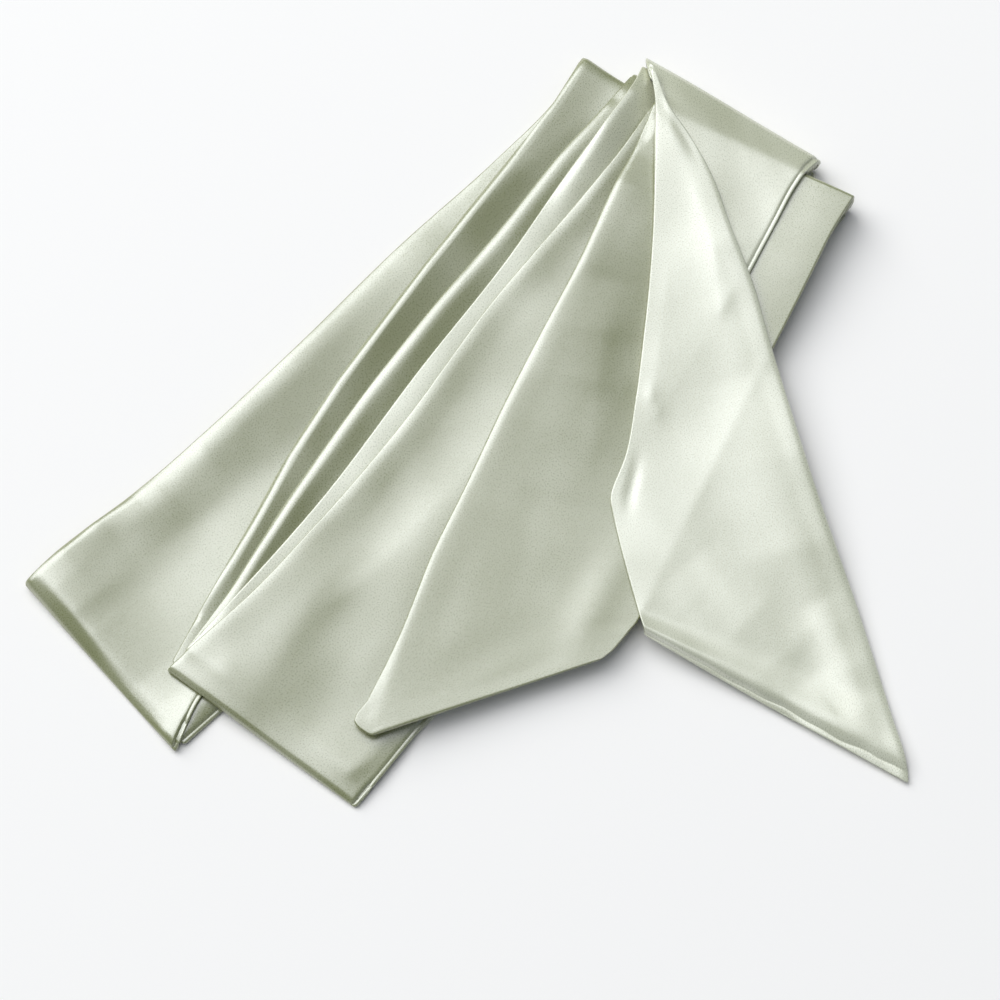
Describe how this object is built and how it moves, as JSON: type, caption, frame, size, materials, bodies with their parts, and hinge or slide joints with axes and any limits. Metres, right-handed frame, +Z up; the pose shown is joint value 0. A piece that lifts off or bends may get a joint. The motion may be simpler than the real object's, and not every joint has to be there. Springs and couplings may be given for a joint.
{
  "type": "folded satin sash",
  "caption": "Long plain satin sash, doubled and folded zig-zag into a low pile, with two slanted tails laid out flat.",
  "frame": {"origin": "middle of the pile's footprint, on the surface it lies on", "axes": "+X to the right across the pile towards the upper tail's tip, +Y away from the front folds towards the back folds, +Z up from the surface"},
  "size_m": [0.4048, 0.3674, 0.0136],
  "materials": {
    "satin": "sage green satin weave, smooth and glossy"
  },
  "bodies": {
    "root": {"bottom_band": "satin", "left_band": "satin", "step_band_1": "satin", "step_band_2": "satin", "step_band_3": "satin", "middle_band": "satin", "under_tail": "satin", "turn_band": "satin", "top_tail": "satin"}
  },
  "joints": []
}
